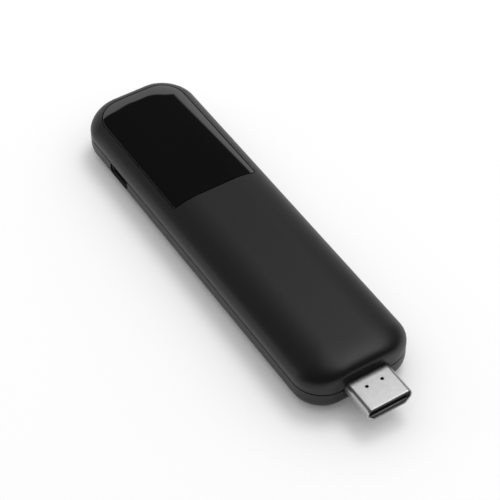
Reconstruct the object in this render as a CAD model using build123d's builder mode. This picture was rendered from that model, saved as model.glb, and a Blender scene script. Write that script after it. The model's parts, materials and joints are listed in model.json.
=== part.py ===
from build123d import *
import os
from math import cos, radians, sin

# A streaming stick: a long matte case in two halves, a gloss panel let into its
# rear face, an HDMI plug at one end and a USB-C socket in one long side.
# Millimetres. X runs along the stick, the plug points to +X, the rear face is up
# and the stick rests on its front face at z = 0. The origin is under the middle
# of the whole length, plug included.

os.makedirs("parts", exist_ok=True)

# Driving dimensions of the case
case_length = 123.0
case_width = 34.0
case_thick = 14.2
case_corner = 9.0        # plan corner radius at the sides
corner_at_face = 4.6     # plan corner radius where the flat faces begin
side_roll = 11.8         # how far the rear roll reaches in from the long sides
end_roll = 9.0           # and from the two ends
end_fullness = 2.5       # the ends stay steep for longer than an ellipse would
rear_roll_height = 5.3
front_roll = 5.2         # the front roll reaches in alike all round
front_roll_height = 4.5
roll_steps = 6           # sections in each rolled band
parting_z = 7.5          # where the two halves meet
wall = 1.5
beyond = 1.0             # how far a cutting shape runs past what it cuts

# The HDMI plug, of standard size
plug_width = 13.9
plug_height = 4.45
plug_top_z = 9.2
plug_reach = 10.4        # how far it stands out of the case
plug_inside = 4.6        # how far its shell runs on inside the case
plug_wall = 0.3
plug_top_radius = 1.3    # at the two corners of its wide side
plug_radius = 0.8        # at the other four
plug_flank = 1.95        # height of each slanted lower flank
plug_slant = 1.75        # and how far it goes in
plug_room = 0.2          # gap between the plug and the case

case_mid_x = -plug_reach / 2
plug_end_x = case_mid_x + case_length / 2
far_end_x = case_mid_x - case_length / 2
tip_x = plug_end_x + plug_reach
plug_root_x = plug_end_x - plug_inside
plug_mid_z = plug_top_z - plug_height / 2

# The gloss panel in the rear face
panel_from_end = 2.75    # its far edge, from the far end of the case
panel_from_side = 3.7
panel_length = 46.0
panel_near_corner = 0.6
panel_far_corner = 7.0
panel_thick = 1.0
panel_gap = 0.2          # the dark line round the panel
adhesive_thick = 0.15
adhesive_inset = 0.8
panel_backing = 1.0      # wall left under the panel's pocket
backing_reach = 2.6      # how far that wall runs past the panel, into the case's sides
panel_x = far_end_x + panel_from_end + panel_length / 2
panel_width = case_width - 2 * panel_from_side

# Lip, groove and posts of the case
lip_height = 1.2
lip_outer = 0.85         # the lip's outer face, in from the case's side
lip_room = 0.1
small_edge = 0.12        # chamfer on chips and screw heads
groove_depth = 0.5
groove_height = 0.3
post_radius = 1.9
post_reach = 5.5

# The circuit board and its screws
board_thick = 1.0
board_z = 6.15           # its lower face
board_top = board_z + board_thick
board_width = 29.0
board_corner = 6.4
board_room = 0.9         # gap to the case at the far end
board_far_x = far_end_x + wall + board_room
board_near_x = plug_root_x - 0.2
screw_radius = 0.6
screw_head_radius = 1.25
screw_head_height = 0.6
screw_shank = 3.0        # length under the head
screw_hole_spare = 0.4   # the hole runs on past the screw's tip
screw_clearance = 0.2    # round the screw in the board
screw_cross = (1.4, 0.3)
screw_y = 11.2
screw_places = [(x, y) for x in (far_end_x + 31.0, plug_end_x - 14.5)
                for y in (-screw_y, screw_y)]

# The USB-C socket, sunk into a notch of the board
usb_x = far_end_x + 23.1
usb_width = 8.94
usb_height = 3.26
usb_depth = 7.35
usb_wall = 0.3
usb_recess = 0.45        # its mouth stands back from the case's side
usb_mouth_y = -case_width / 2 + usb_recess
usb_tongue_size = (6.7, 0.7)
usb_tongue_back = 0.9    # the tongue's tip stands back from the mouth
usb_contact = (0.25, 0.1)   # width and thickness
usb_contact_count = 12
usb_contact_spare = 1.0     # the contacts stop short of the tongue's ends
usb_pitch = 0.5
usb_back_plate = 1.2
usb_slot_length = 9.9
usb_slot_height = 3.5
usb_slot_corner = 1.4
usb_mid_z = parting_z - usb_slot_height / 2
usb_notch_room = 0.3     # gap between the socket and the board's notch
usb_flange_size = (11.2, 3.4, 0.2)   # the strap that holds it on the board
usb_flange_y = usb_mouth_y + 4.8

# HDMI contacts: ten in the upper row and nine in the lower one
contact_pitch = 1.0
contact_width = 0.45
contact_thick = 0.2
contact_tail = 1.9       # how far the tails lie on the board
contact_back = 1.7       # the tips stand back from the mouth
insulator_back = 1.3
mouth_width = 11.4
mouth_depth = 6.5
latch_hole_x = 3.3       # the two holes in the plug's upper face, from the case's end
latch_hole_pitch = 4.8
latch_hole_size = 1.0
collar_x = plug_end_x - wall - 0.7
collar_sheet = 0.4
collar_width = 17.2
collar_height = 5.9
collar_corner = 0.8
collar_leg = 6.0
collar_leg_height = 2.2

# Metal cans and the way the heat takes
can_sheet = 0.2
can_corner = 1.0
rear_can_x = 10.0
rear_can_length = 42.0
rear_can_width = 20.0
rear_frame_height = 2.2
rear_flange = 0.9
lid_skirt = 1.4
front_can_x = 6.0
front_can_length = 34.0
front_can_width = 20.0
front_can_height = 1.9
rear_pad_size = (30.0, 15.0)
rear_pad_thick = 1.1
spreader_size = (64.0, 16.6)
spreader_thick = 0.6
front_sheet_size = (72.0, 20.0)
front_sheet_thick = 0.5
front_pad_size = (20.0, 14.0)

# Chips on the board: length, width, height
soc_size = (14.0, 14.0, 1.3)
memory_size = (7.5, 8.6, 1.0)
flash_size = (11.5, 13.0, 1.0)
power_size = (5.0, 5.0, 0.8)
radio_size = (12.0, 12.0, 0.5)
radio_can_size = (11.2, 11.2, 1.4)
inductor_size = (3.0, 3.0, 1.8)
inductor_pitch = 3.9
capacitor_size = (1.0, 0.5, 0.5)
crystal_size = (3.2, 2.5, 0.7)
soc_x = rear_can_x
memory_x = rear_can_x + 14.5
memory_y = 4.7
flash_x = front_can_x
power_x = rear_can_x - 30.0
power_y = -6.0
inductor_x = power_x - 5.5
capacitor_y = 6.0
capacitor_from_plug = 6.0
radio_x = far_end_x + 19.0
crystal_x = rear_can_x - 24.0
crystal_y = -10.0

# Stamped antennas at the far end
antenna_sheet = 0.2
antenna_height = 2.6
antenna_length = 8.4
antenna_plate = 2.2
antenna_leg = 1.2
antenna_x = board_far_x + 3.6
antenna_y = 8.2


def rolled_form(margin):
    """The case's outer form, drawn in by a margin all round."""
    length = case_length - 2 * margin
    width = case_width - 2 * margin
    rear = (case_thick - margin, rear_roll_height - margin, side_roll - margin,
            end_roll - margin, end_fullness, 1)
    front = (margin, front_roll_height - margin, front_roll - margin, front_roll - margin, 1, -1)
    with BuildPart() as form:
        for face_z, height, side_in, end_in, fullness, way in (rear, front):
            for step in range(roll_steps + 1):
                turn = radians(90 * step / roll_steps)
                inward = 1 - cos(turn)
                corner = case_corner - margin - (case_corner - corner_at_face) * inward
                with BuildSketch(Plane.XY.offset(face_z - way * height * (1 - sin(turn)))):
                    with Locations((case_mid_x, 0)):
                        RectangleRounded(length - 2 * end_in * inward ** fullness,
                                         width - 2 * side_in * inward, max(corner, 1.0))
            loft()
        with BuildSketch(Plane.XY.offset(front_roll_height)):
            with Locations((case_mid_x, 0)):
                RectangleRounded(length, width, case_corner - margin)
        extrude(amount=case_thick - rear_roll_height - front_roll_height)
    return form.part


def case_ring(outer_margin, inner_margin):
    """A flat ring that follows the case's sides, between two margins."""
    with BuildSketch() as ring:
        for margin, mode in ((outer_margin, Mode.ADD), (inner_margin, Mode.SUBTRACT)):
            with Locations((case_mid_x, 0)):
                RectangleRounded(case_length - 2 * margin, case_width - 2 * margin,
                                 case_corner - margin, mode=mode)
    return ring.sketch


def panel_plan(grow):
    """The gloss panel's plan: sharp near corners, round far ones."""
    with BuildSketch() as plan:
        with Locations((panel_x, 0)):
            Rectangle(panel_length + 2 * grow, panel_width + 2 * grow)
        fillet(plan.vertices().group_by(Axis.X)[0], panel_far_corner + grow)
        fillet(plan.vertices().group_by(Axis.X)[-1], max(panel_near_corner + grow, 0.2))
    return plan.sketch


def plug_section(grow):
    """The plug's section, wide side up, with slanted lower flanks."""
    half = plug_width / 2 + grow
    tall = plug_height / 2 + grow
    with BuildSketch() as section:
        with BuildLine():
            Polyline((-half, tall), (half, tall), (half, plug_flank - tall),
                     (half - plug_slant, -tall), (plug_slant - half, -tall),
                     (-half, plug_flank - tall), close=True)
        make_face()
        fillet(section.vertices().group_by(Axis.Y)[-1], plug_top_radius + grow)
        fillet(section.vertices().filter_by_position(Axis.Y, -plug_height, 0),
               max(plug_radius + grow, 0.3))
    return section.sketch


def across(x, z=0.0):
    """A sketch plane square to the stick's length, at a place along it."""
    return Plane(origin=(x, 0, z), x_dir=(0, 1, 0), z_dir=(1, 0, 0))


def chip(size, places, underside=False):
    """Flat packages with a small chamfer, on the board or under it."""
    length, width, height = size
    with BuildPart() as body:
        with BuildSketch(Plane.XY.offset(board_z - height if underside else board_top)):
            with Locations(*places):
                Rectangle(length, width)
        extrude(amount=height)
        faces = body.faces().filter_by(Plane.XY).group_by(Axis.Z)
        chamfer((faces[0] if underside else faces[-1]).edges(), small_edge)
    return body.part


outer_form = rolled_form(0.0)
inner_form = rolled_form(wall)
panel_floor = rolled_form(panel_thick)
pocket_floor = rolled_form(panel_thick + adhesive_thick)
bed_floor = rolled_form(panel_thick + adhesive_thick + panel_backing)

# The pocket that takes the panel, and the thicker wall round and under it
with BuildPart() as pocket:
    with BuildSketch(Plane.XY.offset(case_thick - rear_roll_height)):
        add(panel_plan(panel_gap))
    extrude(amount=rear_roll_height + beyond)
    add(pocket_floor, mode=Mode.SUBTRACT)

with BuildPart() as bed:
    with BuildSketch(Plane.XY.offset(case_thick - rear_roll_height)):
        add(panel_plan(backing_reach))
    extrude(amount=rear_roll_height)
    add(pocket_floor, mode=Mode.INTERSECT)
    add(bed_floor, mode=Mode.SUBTRACT)

# Screw posts that hang from the rear shell down to the board
with BuildPart() as posts:
    with BuildSketch(Plane.XY.offset(board_top)):
        with Locations(*screw_places):
            Circle(post_radius)
    extrude(amount=post_reach)
    add(pocket_floor, mode=Mode.INTERSECT)

# The openings for the plug and the socket
with BuildPart() as plug_opening:
    with BuildSketch(across(plug_end_x - 2 * wall, plug_mid_z)):
        add(plug_section(plug_room))
    extrude(amount=3 * wall)

with BuildPart() as usb_opening:
    with BuildSketch(Plane.XZ.offset(case_width / 2 + beyond)):
        with Locations((usb_x, parting_z - usb_slot_height / 2)):
            RectangleRounded(usb_slot_length, usb_slot_height, usb_slot_corner)
    extrude(amount=-2 * wall - beyond)

with BuildPart() as rear_shell:
    add(outer_form)
    split(bisect_by=Plane.XY.offset(parting_z), keep=Keep.TOP)
    add(inner_form, mode=Mode.SUBTRACT)
    add(bed.part)
    add(posts.part)
    with BuildSketch(Plane.XY.offset(board_top)):
        with Locations(*screw_places):
            Circle(screw_radius)
    extrude(amount=screw_shank + screw_hole_spare - board_thick, mode=Mode.SUBTRACT)
    with BuildSketch(Plane.XY.offset(parting_z)):
        add(case_ring(lip_outer - lip_room, wall + beyond))
    extrude(amount=lip_height + lip_room, mode=Mode.SUBTRACT)
    add(pocket.part, mode=Mode.SUBTRACT)
    add(plug_opening.part, mode=Mode.SUBTRACT)
rear_shell.part.label = "rear_shell"
export_step(rear_shell.part, "parts/rear_shell.step")

with BuildPart() as front_shell:
    add(outer_form)
    split(bisect_by=Plane.XY.offset(parting_z), keep=Keep.BOTTOM)
    add(inner_form, mode=Mode.SUBTRACT)
    with BuildSketch(Plane.XY.offset(parting_z)):
        add(case_ring(lip_outer, wall))
    extrude(amount=lip_height)
    with BuildSketch(Plane.XY.offset(parting_z - groove_height)):
        add(case_ring(-beyond, groove_depth))
    extrude(amount=groove_height, mode=Mode.SUBTRACT)
    add(plug_opening.part, mode=Mode.SUBTRACT)
    add(usb_opening.part, mode=Mode.SUBTRACT)
front_shell.part.label = "front_shell"
export_step(front_shell.part, "parts/front_shell.step")

# The gloss panel follows the roll of the case and is stuck into its pocket
with BuildPart() as gloss_panel:
    with BuildSketch(Plane.XY.offset(case_thick - rear_roll_height)):
        add(panel_plan(0))
    extrude(amount=rear_roll_height)
    add(outer_form, mode=Mode.INTERSECT)
    add(panel_floor, mode=Mode.SUBTRACT)
gloss_panel.part.label = "gloss_panel"
export_step(gloss_panel.part, "parts/gloss_panel.step")

with BuildPart() as panel_adhesive:
    with BuildSketch(Plane.XY.offset(case_thick - rear_roll_height)):
        add(panel_plan(-adhesive_inset))
    extrude(amount=rear_roll_height)
    add(panel_floor, mode=Mode.INTERSECT)
    add(pocket_floor, mode=Mode.SUBTRACT)
panel_adhesive.part.label = "panel_adhesive"
export_step(panel_adhesive.part, "parts/panel_adhesive.step")

# The HDMI plug: steel shell, moulded body, two rows of contacts and a collar
with BuildPart() as hdmi_shell:
    with BuildSketch(across(plug_root_x, plug_mid_z)):
        add(plug_section(0))
        add(plug_section(-plug_wall), mode=Mode.SUBTRACT)
    extrude(amount=tip_x - plug_root_x)
    with BuildSketch(Plane.XY.offset(plug_mid_z)):
        with Locations((plug_end_x + latch_hole_x, 0)):
            with GridLocations(0, latch_hole_pitch, 1, 2):
                RectangleRounded(latch_hole_size, latch_hole_size, latch_hole_size / 3)
    extrude(amount=plug_height, mode=Mode.SUBTRACT)
hdmi_shell.part.label = "hdmi_shell"
export_step(hdmi_shell.part, "parts/hdmi_shell.step")


def contact_row(count, z):
    """One row of flat contacts, side by side, from the mouth to their tails."""
    first = board_near_x - contact_tail
    with BuildPart() as row:
        with BuildSketch(Plane.XY.offset(z)):
            with Locations(((first + tip_x - contact_back) / 2, 0)):
                with GridLocations(0, contact_pitch, 1, count):
                    Rectangle(tip_x - contact_back - first, contact_width)
        extrude(amount=contact_thick)
    return row.part


upper_row = contact_row(10, board_top)
lower_row = contact_row(9, board_z - contact_thick)

with BuildPart() as hdmi_contacts_upper:
    add(upper_row)
hdmi_contacts_upper.part.label = "hdmi_contacts_upper"
export_step(hdmi_contacts_upper.part, "parts/hdmi_contacts_upper.step")

with BuildPart() as hdmi_contacts_lower:
    add(lower_row)
hdmi_contacts_lower.part.label = "hdmi_contacts_lower"
export_step(hdmi_contacts_lower.part, "parts/hdmi_contacts_lower.step")

with BuildPart() as hdmi_insulator:
    with BuildSketch(across(plug_root_x, plug_mid_z)):
        add(plug_section(-plug_wall))
    extrude(amount=plug_inside + plug_reach - insulator_back)
    with BuildSketch(across(tip_x - insulator_back, board_z + board_thick / 2)):
        Rectangle(mouth_width, board_thick + 2 * contact_thick)
    extrude(amount=-mouth_depth, mode=Mode.SUBTRACT)
    add(upper_row, mode=Mode.SUBTRACT)
    add(lower_row, mode=Mode.SUBTRACT)
hdmi_insulator.part.label = "hdmi_insulator"
export_step(hdmi_insulator.part, "parts/hdmi_insulator.step")

with BuildPart() as hdmi_collar:
    with BuildSketch(across(collar_x, plug_mid_z)):
        RectangleRounded(collar_width, collar_height, collar_corner)
        add(plug_section(0), mode=Mode.SUBTRACT)
    extrude(amount=collar_sheet)
    with BuildSketch(Plane.XY.offset(board_top)):
        with Locations((collar_x - collar_leg / 2, 0)):
            with GridLocations(0, collar_width - collar_sheet, 1, 2):
                Rectangle(collar_leg, collar_sheet)
    extrude(amount=collar_leg_height)
hdmi_collar.part.label = "hdmi_collar"
export_step(hdmi_collar.part, "parts/hdmi_collar.step")

# The board, cut back behind the plug, with its screw holes and the socket's notch
usb_back_end = usb_mouth_y + usb_depth
with BuildPart() as main_board:
    with BuildSketch(Plane.XY.offset(board_z)):
        with Locations(((board_far_x + board_near_x) / 2, 0)):
            RectangleRounded(board_near_x - board_far_x, board_width, board_corner)
        with Locations(*screw_places):
            Circle(screw_radius + screw_clearance, mode=Mode.SUBTRACT)
        with Locations((usb_x, usb_back_end + usb_notch_room)):
            Rectangle(usb_width + 2 * usb_notch_room, usb_depth + 2 * usb_notch_room,
                      align=(Align.CENTER, Align.MAX), mode=Mode.SUBTRACT)
    extrude(amount=board_thick)
main_board.part.label = "main_board"
export_step(main_board.part, "parts/main_board.step")

with BuildPart() as board_screws:
    with BuildSketch(Plane.XY.offset(board_z - screw_head_height)):
        with Locations(*screw_places):
            Circle(screw_head_radius)
    extrude(amount=screw_head_height)
    chamfer(board_screws.faces().sort_by(Axis.Z)[:len(screw_places)].edges(), small_edge)
    with BuildSketch(Plane.XY.offset(board_z - screw_head_height)):
        with Locations(*screw_places):
            Rectangle(*screw_cross)
            Rectangle(*reversed(screw_cross))
    extrude(amount=screw_head_height / 2, mode=Mode.SUBTRACT)
    with BuildSketch(Plane.XY.offset(board_z)):
        with Locations(*screw_places):
            Circle(screw_radius)
    extrude(amount=screw_shank)
board_screws.part.label = "board_screws"
export_step(board_screws.part, "parts/board_screws.step")

# The USB-C socket: shell with its strap, tongue and contacts
with BuildPart() as usb_shell:
    with BuildSketch(Plane.XZ.offset(-usb_mouth_y)):
        with Locations((usb_x, usb_mid_z)):
            SlotOverall(usb_width, usb_height)
    extrude(amount=-usb_depth)
    with BuildSketch(Plane.XY.offset(board_top)):
        with Locations((usb_x, usb_flange_y)):
            Rectangle(usb_flange_size[0], usb_flange_size[1])
    extrude(amount=usb_flange_size[2])
    with BuildSketch(Plane.XZ.offset(-usb_mouth_y)):
        with Locations((usb_x, usb_mid_z)):
            SlotOverall(usb_width - 2 * usb_wall, usb_height - 2 * usb_wall)
    extrude(amount=usb_wall - usb_depth, mode=Mode.SUBTRACT)
usb_shell.part.label = "usb_shell"
export_step(usb_shell.part, "parts/usb_shell.step")

usb_back_y = usb_mouth_y + usb_depth - usb_wall
usb_tip_y = usb_mouth_y + usb_tongue_back
tongue_width, tongue_thick = usb_tongue_size

with BuildPart() as usb_contacts:
    for side in (-1, 1):
        middle = usb_mid_z + side * (tongue_thick - usb_contact[1]) / 2
        with BuildSketch(Plane.XY.offset(middle - usb_contact[1] / 2)):
            with Locations((usb_x, (usb_back_y + usb_tip_y) / 2)):
                with GridLocations(usb_pitch, 0, usb_contact_count, 1):
                    Rectangle(usb_contact[0], usb_back_y - usb_tip_y - usb_contact_spare)
        extrude(amount=usb_contact[1])
usb_contacts.part.label = "usb_contacts"
export_step(usb_contacts.part, "parts/usb_contacts.step")

with BuildPart() as usb_tongue:
    with BuildSketch(Plane.XZ.offset(-usb_tip_y)):
        with Locations((usb_x, usb_mid_z)):
            RectangleRounded(tongue_width, tongue_thick, small_edge)
    extrude(amount=usb_tip_y - usb_back_y)
    with BuildSketch(Plane.XZ.offset(-usb_back_y)):
        with Locations((usb_x, usb_mid_z)):
            SlotOverall(usb_width - 2 * usb_wall, usb_height - 2 * usb_wall)
    extrude(amount=usb_back_plate)
    add(usb_contacts.part, mode=Mode.SUBTRACT)
usb_tongue.part.label = "usb_tongue"
export_step(usb_tongue.part, "parts/usb_tongue.step")

# Chips
with BuildPart() as main_chip:
    add(chip(soc_size, [(soc_x, 0)]))
main_chip.part.label = "main_chip"
export_step(main_chip.part, "parts/main_chip.step")

with BuildPart() as memory_chips:
    add(chip(memory_size, [(memory_x, -memory_y), (memory_x, memory_y)]))
memory_chips.part.label = "memory_chips"
export_step(memory_chips.part, "parts/memory_chips.step")

with BuildPart() as flash_chip:
    add(chip(flash_size, [(flash_x, 0)], underside=True))
flash_chip.part.label = "flash_chip"
export_step(flash_chip.part, "parts/flash_chip.step")

with BuildPart() as power_chip:
    add(chip(power_size, [(power_x, power_y)]))
power_chip.part.label = "power_chip"
export_step(power_chip.part, "parts/power_chip.step")

with BuildPart() as radio_module:
    add(chip(radio_size, [(radio_x, 0)]))
radio_module.part.label = "radio_module"
export_step(radio_module.part, "parts/radio_module.step")

with BuildPart() as inductors:
    add(chip(inductor_size, [(inductor_x, power_y + step * inductor_pitch) for step in (-1, 0, 1)]))
inductors.part.label = "inductors"
export_step(inductors.part, "parts/inductors.step")

with BuildPart() as crystal:
    add(chip(crystal_size, [(crystal_x, crystal_y)]))
crystal.part.label = "crystal"
export_step(crystal.part, "parts/crystal.step")

with BuildPart() as capacitors:
    length, width, height = capacitor_size
    with BuildSketch(Plane.XY.offset(board_top)):
        with Locations((power_x, capacitor_y)):
            with GridLocations(2 * length, 3 * width, 6, 3):
                Rectangle(length, width)
        with Locations((plug_root_x - capacitor_from_plug, 0)):
            with GridLocations(0, 3 * width, 1, 6):
                Rectangle(length, width)
    extrude(amount=height)
capacitors.part.label = "capacitors"
export_step(capacitors.part, "parts/capacitors.step")

# Metal cans over the chips
with BuildPart() as radio_can:
    can_length, can_width, can_height = radio_can_size
    with BuildSketch(Plane.XY.offset(board_top + radio_size[2])):
        with Locations((radio_x, 0)):
            RectangleRounded(can_length, can_width, can_corner)
    extrude(amount=can_height)
    with BuildSketch(Plane.XY.offset(board_top + radio_size[2])):
        with Locations((radio_x, 0)):
            RectangleRounded(can_length - 2 * can_sheet, can_width - 2 * can_sheet,
                             can_corner - can_sheet)
    extrude(amount=can_height - can_sheet, mode=Mode.SUBTRACT)
radio_can.part.label = "radio_can"
export_step(radio_can.part, "parts/radio_can.step")

with BuildPart() as shield_frame:
    with BuildSketch(Plane.XY.offset(board_top)):
        with Locations((rear_can_x, 0)):
            RectangleRounded(rear_can_length, rear_can_width, can_corner)
            RectangleRounded(rear_can_length - 2 * can_sheet, rear_can_width - 2 * can_sheet,
                             can_corner - can_sheet, mode=Mode.SUBTRACT)
    extrude(amount=rear_frame_height)
    with BuildSketch(Plane.XY.offset(board_top + rear_frame_height - can_sheet)):
        with Locations((rear_can_x, 0)):
            RectangleRounded(rear_can_length, rear_can_width, can_corner)
            RectangleRounded(rear_can_length - 2 * rear_flange, rear_can_width - 2 * rear_flange,
                             can_corner - can_sheet, mode=Mode.SUBTRACT)
    extrude(amount=can_sheet)
shield_frame.part.label = "shield_frame"
export_step(shield_frame.part, "parts/shield_frame.step")

lid_z = board_top + rear_frame_height
with BuildPart() as shield_lid:
    with BuildSketch(Plane.XY.offset(lid_z - lid_skirt)):
        with Locations((rear_can_x, 0)):
            RectangleRounded(rear_can_length + 2 * can_sheet, rear_can_width + 2 * can_sheet,
                             can_corner + can_sheet)
    extrude(amount=lid_skirt + can_sheet)
    with BuildSketch(Plane.XY.offset(lid_z - lid_skirt)):
        with Locations((rear_can_x, 0)):
            RectangleRounded(rear_can_length, rear_can_width, can_corner)
    extrude(amount=lid_skirt, mode=Mode.SUBTRACT)
shield_lid.part.label = "shield_lid"
export_step(shield_lid.part, "parts/shield_lid.step")

with BuildPart() as front_can:
    with BuildSketch(Plane.XY.offset(board_z - front_can_height)):
        with Locations((front_can_x, 0)):
            RectangleRounded(front_can_length, front_can_width, can_corner)
    extrude(amount=front_can_height)
    with BuildSketch(Plane.XY.offset(board_z - front_can_height + can_sheet)):
        with Locations((front_can_x, 0)):
            RectangleRounded(front_can_length - 2 * can_sheet, front_can_width - 2 * can_sheet,
                             can_corner - can_sheet)
    extrude(amount=front_can_height - can_sheet, mode=Mode.SUBTRACT)
front_can.part.label = "front_can"
export_step(front_can.part, "parts/front_can.step")


def pad(size, x, low, high, corner=0.5):
    """A flat pad or plate between two heights, about the stick's middle line."""
    with BuildPart() as body:
        with BuildSketch(Plane.XY.offset(low)):
            with Locations((x, 0)):
                RectangleRounded(*size, corner)
        extrude(amount=high - low)
    return body.part


# Thermal pads and the plates that spread the heat
with BuildPart() as chip_pad:
    add(pad((soc_size[0] - 1, soc_size[1] - 1), soc_x, board_top + soc_size[2], lid_z))
chip_pad.part.label = "chip_pad"
export_step(chip_pad.part, "parts/chip_pad.step")

rear_pad_z = lid_z + can_sheet
with BuildPart() as rear_pad:
    add(pad(rear_pad_size, rear_can_x, rear_pad_z, rear_pad_z + rear_pad_thick))
rear_pad.part.label = "rear_pad"
export_step(rear_pad.part, "parts/rear_pad.step")

spreader_z = rear_pad_z + rear_pad_thick
with BuildPart() as rear_spreader:
    add(pad(spreader_size, rear_can_x, spreader_z, spreader_z + spreader_thick, corner=2.0))
rear_spreader.part.label = "rear_spreader"
export_step(rear_spreader.part, "parts/rear_spreader.step")

flash_low = board_z - flash_size[2]
front_can_low = board_z - front_can_height
with BuildPart() as flash_pad:
    add(pad((flash_size[0] - 1, flash_size[1] - 1), flash_x, front_can_low + can_sheet, flash_low))
flash_pad.part.label = "flash_pad"
export_step(flash_pad.part, "parts/flash_pad.step")

with BuildPart() as front_sheet:
    add(pad(front_sheet_size, front_can_x, wall, wall + front_sheet_thick, corner=2.0))
front_sheet.part.label = "front_sheet"
export_step(front_sheet.part, "parts/front_sheet.step")

with BuildPart() as front_pad:
    add(pad(front_pad_size, front_can_x, wall + front_sheet_thick, front_can_low))
front_pad.part.label = "front_pad"
export_step(front_pad.part, "parts/front_pad.step")

# Two stamped antennas stand on the board under the gloss panel
for hand, name in ((-1, "antenna_left"), (1, "antenna_right")):
    with BuildPart() as antenna:
        with BuildSketch(Plane.XY.offset(board_top)):
            with Locations((antenna_x + antenna_plate / 2, hand * antenna_y)):
                with GridLocations(0, antenna_length - 2 * antenna_leg, 1, 2):
                    Rectangle(antenna_sheet, antenna_leg)
        extrude(amount=antenna_height)
        with BuildSketch(Plane.XY.offset(board_top + antenna_height)):
            with Locations((antenna_x, hand * antenna_y)):
                Rectangle(antenna_plate + antenna_sheet, antenna_length)
        extrude(amount=antenna_sheet)
    antenna.part.label = name
    export_step(antenna.part, f"parts/{name}.step")
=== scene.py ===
# %% [markdown]
# # A streaming stick for the back of a television
# The real thing is a long soft-touch case in two halves, with a gloss panel let into
# its rear face, a steel HDMI plug at one end and a small power socket in one side.
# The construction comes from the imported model, which is loaded here as a fixed frame.
# This script adds the looks: fine meshes for what shows, and a finish for every piece.

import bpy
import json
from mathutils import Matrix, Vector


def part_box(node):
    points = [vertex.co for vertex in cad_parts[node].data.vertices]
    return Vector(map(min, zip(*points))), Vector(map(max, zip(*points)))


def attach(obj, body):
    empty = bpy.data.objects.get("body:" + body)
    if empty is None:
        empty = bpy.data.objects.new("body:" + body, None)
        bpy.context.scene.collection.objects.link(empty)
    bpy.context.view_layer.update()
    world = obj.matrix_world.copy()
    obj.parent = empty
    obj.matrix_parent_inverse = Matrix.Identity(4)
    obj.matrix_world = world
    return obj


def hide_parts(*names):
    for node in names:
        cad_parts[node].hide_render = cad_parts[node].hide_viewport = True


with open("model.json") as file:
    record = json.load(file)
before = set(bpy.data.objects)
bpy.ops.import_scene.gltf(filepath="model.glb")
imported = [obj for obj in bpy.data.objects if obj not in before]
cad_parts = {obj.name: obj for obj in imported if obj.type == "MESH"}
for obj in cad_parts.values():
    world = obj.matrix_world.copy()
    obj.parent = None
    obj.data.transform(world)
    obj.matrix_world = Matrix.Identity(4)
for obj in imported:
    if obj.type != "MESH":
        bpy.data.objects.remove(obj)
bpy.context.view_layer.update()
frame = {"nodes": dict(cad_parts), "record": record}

# %% [markdown]
# ## Tools and units
# A stick is small, so its pieces are drawn in millimetres, as on a workshop drawing,
# and brought to metres once they are finished. Sizes that the construction fixes are
# read from the boxes of its nodes.

# %% Tools and units
import json
from math import pi, radians
from types import SimpleNamespace

import bpy
import numpy as np
from mathutils import Matrix, Vector

MM = 0.001
scene = bpy.context.scene


def placed(name, data):
    """A new object in the scene."""
    thing = bpy.data.objects.new(name, data)
    scene.collection.objects.link(thing)
    return thing


def look(thing, where, along):
    """Sets a camera or a lamp at a place and turns it along a direction."""
    thing.location = where
    thing.rotation_mode = "QUATERNION"
    thing.rotation_quaternion = Vector(along).to_track_quat("-Z", "Y")


def node_box(node):
    """The lowest and highest corner of a node of the frame, in millimetres."""
    low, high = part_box(node)
    return np.array(low) / MM, np.array(high) / MM


rear_low, rear_high = node_box("rear_shell")
front_low, front_high = node_box("front_shell")
panel_low, panel_high = node_box("gloss_panel")
plug_low, plug_high = node_box("hdmi_shell")
board_low, board_high = node_box("main_board")
socket_low, socket_high = node_box("usb_shell")

case_length, case_width = rear_high[0] - rear_low[0], rear_high[1] - rear_low[1]
case_thick = rear_high[2] - front_low[2]
case_mid = (rear_high[0] + rear_low[0]) / 2
lip_height = 1.2  # the front half's lip stands up inside the rear half
parting = front_high[2] - lip_height
print(f"case {case_length:.1f} x {case_width:.1f} x {case_thick:.1f} mm, parted at {parting:.1f}")

# %% [markdown]
# ## Camera
# The photograph looks down on the stick from its plug end, over its left side, through
# a long lens. Direction, distance and focal length were fitted to the object's edges.

# %% Camera
photo_width = 500  # pixels
focal_pixels = 1678.4
view_azimuth, view_elevation = radians(57.53), radians(47.49)
view_distance = 0.46338
aim = Vector((0.00204, -0.00113, 0.0070))

flat = np.cos(view_elevation)
back = Vector((np.sin(view_azimuth) * flat, -np.cos(view_azimuth) * flat, np.sin(view_elevation)))
camera = placed("camera", bpy.data.cameras.new("camera"))
look(camera, aim + back * view_distance, -back)
camera.data.sensor_width = 36.0
camera.data.lens = focal_pixels * camera.data.sensor_width / photo_width
camera.data.clip_start, camera.data.clip_end = 0.01, 20.0
scene.camera = camera
print(f"lens {camera.data.lens:.1f} mm at {view_distance:.3f} m")

# %% [markdown]
# ## A short way to write node trees
# Geometry and shader trees are built by the same small helpers. An output of a node can
# stand in a formula like a number, and then each sign of the formula adds a Math node.

# %% A short way to write node trees
def sign(operation):
    """What a sign does between a wire and a wire or number."""
    return lambda wire, other: wire.tree.math(operation, wire, other)


class Wire:
    """An output of a node, which can stand in a formula."""
    __add__, __sub__, __mul__ = sign("ADD"), sign("SUBTRACT"), sign("MULTIPLY")
    __truediv__, __pow__ = sign("DIVIDE"), sign("POWER")

    def __init__(self, tree, socket):
        self.tree, self.socket = tree, socket

    def __rsub__(self, other):
        return self.tree.math("SUBTRACT", other, self)


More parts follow.
